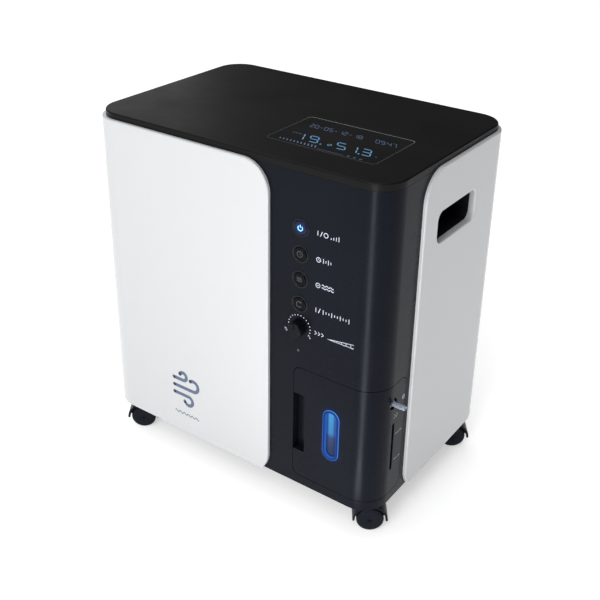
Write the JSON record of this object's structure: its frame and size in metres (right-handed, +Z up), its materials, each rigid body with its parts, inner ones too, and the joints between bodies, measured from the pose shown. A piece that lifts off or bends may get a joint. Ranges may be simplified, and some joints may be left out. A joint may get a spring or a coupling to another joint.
{
  "type": "oxygen concentrator",
  "caption": "Compact home oxygen concentrator on twin-wheel casters, with push buttons, flow knob, lid display and a pull-out humidifier drawer with side outlet.",
  "frame": {"origin": "on the floor under the middle of the overall outline", "axes": "+Z up, -Y is the front with the buttons, +X is the side with the oxygen outlet"},
  "size_m": [0.3879, 0.26, 0.415],
  "materials": {
    "black_abs": "satin",
    "white_abs": "gloss",
    "dark_lens": "gloss",
    "circuit": "solder mask",
    "key_cap": "satin",
    "bezel": "gloss",
    "knob": "satin",
    "clear": "clear polycarbonate",
    "glow_ring": "clear acrylic lit blue",
    "lid_plastic": "gloss",
    "brass": "machined",
    "alloy": "cast",
    "steel": "zinc plated",
    "shaft": "ground",
    "bed_shell": "satin",
    "silicone": "translucent silicone",
    "rubber": "matte",
    "foam": "open-cell foam",
    "coil": "moulded coil",
    "caster_nylon": "satin nylon",
    "tyre": "polyurethane tread"
  },
  "bodies": {
    "cabinet": {"top_lid": "black_abs", "front_panel": "black_abs", "base_tray": "black_abs", "rear_panel": "black_abs", "grip_cup_left": "black_abs", "grip_cup_right": "black_abs", "drawer_bay": "black_abs", "power_inlet": "black_abs", "fan_frame": "black_abs", "left_cover": "white_abs", "right_cover": "white_abs", "display_lens": "dark_lens", "display_module": "circuit", "circuit_boards": "circuit", "button_bezels": "bezel", "flow_valve": "brass", "indicator_lens": "clear", "compressor_body": "alloy", "cylinder_heads": "alloy", "valve_manifold": "alloy", "sieve_beds": "bed_shell", "oxygen_store": "bed_shell", "hoses": "silicone", "rubber_mounts": "rubber", "intake_filter": "foam", "solenoids": "coil", "inner_shelf": "steel", "rear_screws": "steel"},
    "press_power": {"button_power": "key_cap"},
    "press_timer": {"button_timer": "key_cap"},
    "press_ion": {"button_ion": "key_cap"},
    "press_mode": {"button_mode": "key_cap"},
    "flow_control": {"flow_knob": "knob"},
    "humidifier_drawer": {"drawer_front": "black_abs", "drawer_tray": "black_abs", "window_ring": "glow_ring", "level_lens": "dark_lens", "humidifier_tank": "clear", "tank_lid": "lid_plastic", "bubbler_tube": "clear", "outlet_nozzle": "clear"},
    "pump_rotor": {"compressor_shaft": "shaft"},
    "fan": {"fan_rotor": "black_abs"},
    "filter_door": {"filter_cover": "black_abs"},
    "caster_front_left": {"caster_front_left_hood": "caster_nylon", "caster_front_left_pins": "steel"},
    "caster_front_left_roll_a": {"caster_front_left_wheel_a": "tyre"},
    "caster_front_left_roll_b": {"caster_front_left_wheel_b": "tyre"},
    "caster_front_right": {"caster_front_right_hood": "caster_nylon", "caster_front_right_pins": "steel"},
    "caster_front_right_roll_a": {"caster_front_right_wheel_a": "tyre"},
    "caster_front_right_roll_b": {"caster_front_right_wheel_b": "tyre"},
    "caster_rear_left": {"caster_rear_left_hood": "caster_nylon", "caster_rear_left_pins": "steel"},
    "caster_rear_left_roll_a": {"caster_rear_left_wheel_a": "tyre"},
    "caster_rear_left_roll_b": {"caster_rear_left_wheel_b": "tyre"},
    "caster_rear_right": {"caster_rear_right_hood": "caster_nylon", "caster_rear_right_pins": "steel"},
    "caster_rear_right_roll_a": {"caster_rear_right_wheel_a": "tyre"},
    "caster_rear_right_roll_b": {"caster_rear_right_wheel_b": "tyre"}
  },
  "joints": [
    {"name": "power_push", "type": "slide", "parent": "cabinet", "child": "press_power", "axis": [0, 1, 0], "range_m": [0, 0.0015], "stiffness_N_per_m": 600, "springref_m": -0.002},
    {"name": "timer_push", "type": "slide", "parent": "cabinet", "child": "press_timer", "axis": [0, 1, 0], "range_m": [0, 0.0015], "stiffness_N_per_m": 600, "springref_m": -0.002},
    {"name": "ion_push", "type": "slide", "parent": "cabinet", "child": "press_ion", "axis": [0, 1, 0], "range_m": [0, 0.0015], "stiffness_N_per_m": 600, "springref_m": -0.002},
    {"name": "mode_push", "type": "slide", "parent": "cabinet", "child": "press_mode", "axis": [0, 1, 0], "range_m": [0, 0.0015], "stiffness_N_per_m": 600, "springref_m": -0.002},
    {"name": "flow_turn", "type": "hinge", "parent": "cabinet", "child": "flow_control", "pos_m": [0.0835, -0.121, 0.2417], "axis": [0, 1, 0], "range_deg": [0, 290]},
    {"name": "drawer_slide", "type": "slide", "parent": "cabinet", "child": "humidifier_drawer", "axis": [0, -1, 0], "range_m": [0, 0.07]},
    {"name": "pump_spin", "type": "hinge", "parent": "cabinet", "child": "pump_rotor", "pos_m": [-0.073, -0.014, 0.118], "axis": [1, 0, 0], "continuous": true},
    {"name": "fan_spin", "type": "hinge", "parent": "cabinet", "child": "fan", "pos_m": [-0.073, 0.106, 0.124], "axis": [0, 1, 0], "continuous": true},
    {"name": "filter_pull", "type": "slide", "parent": "cabinet", "child": "filter_door", "axis": [0, 1, 0], "range_m": [0, 0.025]},
    {"name": "caster_front_left_swivel", "type": "hinge", "parent": "cabinet", "child": "caster_front_left", "pos_m": [-0.16, -0.092, 0.04], "axis": [0, 0, 1], "continuous": true},
    {"name": "caster_front_left_spin_a", "type": "hinge", "parent": "caster_front_left", "child": "caster_front_left_roll_a", "pos_m": [-0.16737, -0.09716, 0.015], "axis": [0.5736, -0.8192, 0], "continuous": true},
    {"name": "caster_front_left_spin_b", "type": "hinge", "parent": "caster_front_left", "child": "caster_front_left_roll_b", "pos_m": [-0.16737, -0.09716, 0.015], "axis": [0.5736, -0.8192, 0], "continuous": true},
    {"name": "caster_front_right_swivel", "type": "hinge", "parent": "cabinet", "child": "caster_front_right", "pos_m": [0.15, -0.092, 0.04], "axis": [0, 0, 1], "continuous": true},
    {"name": "caster_front_right_spin_a", "type": "hinge", "parent": "caster_front_right", "child": "caster_front_right_roll_a", "pos_m": [0.15737, -0.08684, 0.015], "axis": [-0.5736, 0.8192, 0], "continuous": true},
    {"name": "caster_front_right_spin_b", "type": "hinge", "parent": "caster_front_right", "child": "caster_front_right_roll_b", "pos_m": [0.15737, -0.08684, 0.015], "axis": [-0.5736, 0.8192, 0], "continuous": true},
    {"name": "caster_rear_left_swivel", "type": "hinge", "parent": "cabinet", "child": "caster_rear_left", "pos_m": [-0.165, 0.092, 0.04], "axis": [0, 0, 1], "continuous": true},
    {"name": "caster_rear_left_spin_a", "type": "hinge", "parent": "caster_rear_left", "child": "caster_rear_left_roll_a", "pos_m": [-0.17316, 0.0882, 0.015], "axis": [0.4226, -0.9063, 0], "continuous": true},
    {"name": "caster_rear_left_spin_b", "type": "hinge", "parent": "caster_rear_left", "child": "caster_rear_left_roll_b", "pos_m": [-0.17316, 0.0882, 0.015], "axis": [0.4226, -0.9063, 0], "continuous": true},
    {"name": "caster_rear_right_swivel", "type": "hinge", "parent": "cabinet", "child": "caster_rear_right", "pos_m": [0.155, 0.092, 0.04], "axis": [0, 0, 1], "continuous": true},
    {"name": "caster_rear_right_spin_a", "type": "hinge", "parent": "caster_rear_right", "child": "caster_rear_right_roll_a", "pos_m": [0.16237, 0.09716, 0.015], "axis": [-0.5736, 0.8192, 0], "continuous": true},
    {"name": "caster_rear_right_spin_b", "type": "hinge", "parent": "caster_rear_right", "child": "caster_rear_right_roll_b", "pos_m": [0.16237, 0.09716, 0.015], "axis": [-0.5736, 0.8192, 0], "continuous": true}
  ]
}
